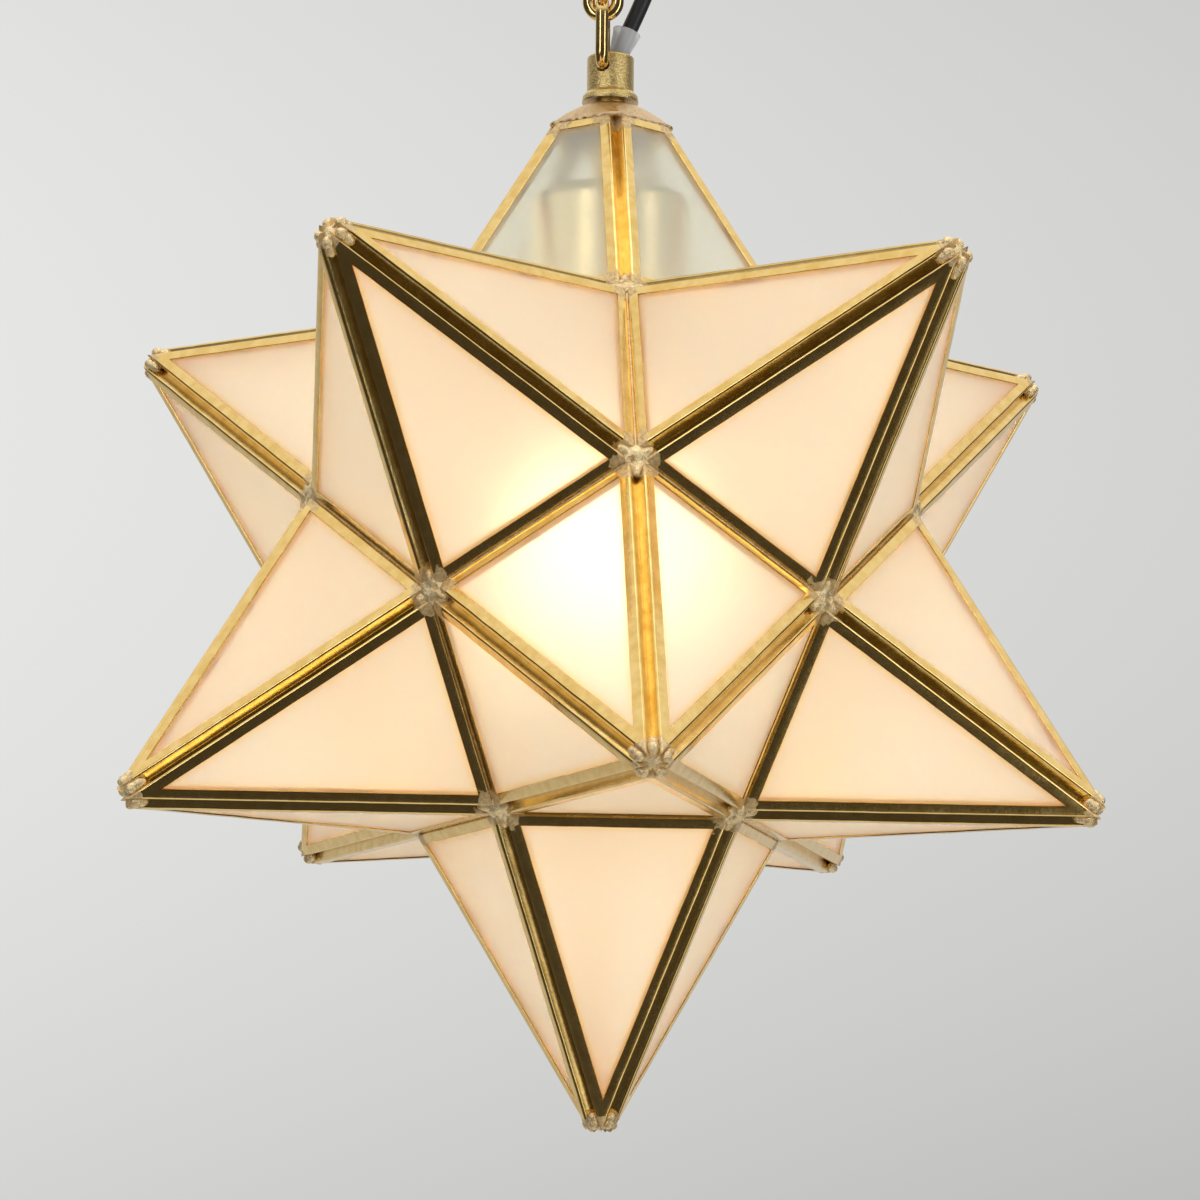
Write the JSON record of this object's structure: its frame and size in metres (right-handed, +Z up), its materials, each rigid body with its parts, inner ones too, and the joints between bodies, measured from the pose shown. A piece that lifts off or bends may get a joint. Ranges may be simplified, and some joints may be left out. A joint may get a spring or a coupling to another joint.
{
  "type": "moravian star pendant lamp",
  "caption": "Hanging star lamp: frosted glass pyramids in brass channel over a screw-in bulb, hung by a chain and cable from a ceiling canopy, with one hinged point",
  "frame": {"origin": "middle of the canopy's rim, on the ceiling, straight above the chain", "axes": "+Z up, front is -Y, the canopy's bar lies along X"},
  "size_m": [0.3049, 0.3192, 0.4335],
  "materials": {
    "brass": "polished folded brass channel, lacquered",
    "frosted_glass": "acid-frosted sheet glass",
    "clear_glass": "clear blown glass",
    "black_glass": "black vitrite insulator",
    "steel": "zinc-plated steel",
    "porcelain": "glazed porcelain",
    "filament": "yellow coated filament rod",
    "cable_jacket": "smooth matt black jacket",
    "clear_plastic": "clear flexible sleeve"
  },
  "bodies": {
    "canopy": {"canopy": "brass", "ceiling_bar": "steel", "canopy_nipple": "steel", "canopy_locknuts": "steel", "canopy_loop": "brass", "cable_bush": "cable_jacket", "cable_upper": "cable_jacket"},
    "upper_link": {"upper_link": "brass"},
    "lower_link": {"lower_link": "brass", "cable_lower": "cable_jacket"},
    "star": {"top_point_came": "brass", "top_point_glass": "frosted_glass", "upper_1_point_came": "brass", "upper_1_point_glass": "frosted_glass", "lower_1_point_came": "brass", "lower_1_point_glass": "frosted_glass", "upper_2_point_came": "brass", "upper_2_point_glass": "frosted_glass", "lower_2_point_came": "brass", "lower_2_point_glass": "frosted_glass", "lower_3_point_came": "brass", "lower_3_point_glass": "frosted_glass", "upper_4_point_came": "brass", "upper_4_point_glass": "frosted_glass", "lower_4_point_came": "brass", "lower_4_point_glass": "frosted_glass", "upper_5_point_came": "brass", "upper_5_point_glass": "frosted_glass", "lower_5_point_came": "brass", "lower_5_point_glass": "frosted_glass", "bottom_point_came": "brass", "bottom_point_glass": "frosted_glass", "tip_solder": "brass", "corner_solder": "brass", "hinge_leaf_star": "brass", "hinge_pin": "brass", "top_cap": "brass", "stem": "brass", "nipple": "steel", "locknuts": "steel", "socket_cup": "brass", "lampholder": "porcelain", "lampholder_shell": "steel", "lampholder_contact": "steel", "cable_tail": "cable_jacket", "cable_sleeve": "clear_plastic"},
    "door": {"upper_3_point_came": "brass", "upper_3_point_glass": "frosted_glass", "door_tip_solder": "brass", "hinge_leaf_door": "brass"},
    "bulb_contact": {"bulb_eyelet": "steel"},
    "bulb": {"bulb_globe": "clear_glass", "bulb_base": "steel", "bulb_insulator": "black_glass", "bulb_mount": "clear_glass", "bulb_filaments": "filament"}
  },
  "joints": [
    {"name": "hanger_swing", "type": "hinge", "parent": "canopy", "child": "upper_link", "pos_m": [0, 0, -0.0522], "axis": [0.1564, 0.9877, 0], "range_deg": [-15, 15], "deforming": ["cable_upper"]},
    {"name": "link_swing", "type": "hinge", "parent": "upper_link", "child": "lower_link", "pos_m": [0, 0, -0.06915], "axis": [0.9877, -0.1564, 0], "range_deg": [-15, 15], "deforming": ["cable_lower"]},
    {"name": "hook_swing", "type": "hinge", "parent": "lower_link", "child": "star", "pos_m": [0, 0, -0.0861], "axis": [0.1564, 0.9877, 0], "range_deg": [-2, 5]},
    {"name": "door_swing", "type": "hinge", "parent": "star", "child": "door", "pos_m": [0.00314, 0.05791, -0.17164], "axis": [1, 0, 0], "range_deg": [0, 80]},
    {"name": "bulb_slide", "type": "slide", "parent": "star", "child": "bulb_contact", "axis": [0, 0, -1], "range_m": [0, 0.01815]},
    {"name": "bulb_turn", "type": "hinge", "parent": "bulb_contact", "child": "bulb", "pos_m": [0.00314, 0.00578, -0.1836], "axis": [0, 0, -1], "range_deg": [0, 1800]}
  ],
  "couplings": [
    {"joint": "bulb_slide", "follows": "bulb_turn", "m_per_rad": 0.00057773}
  ]
}
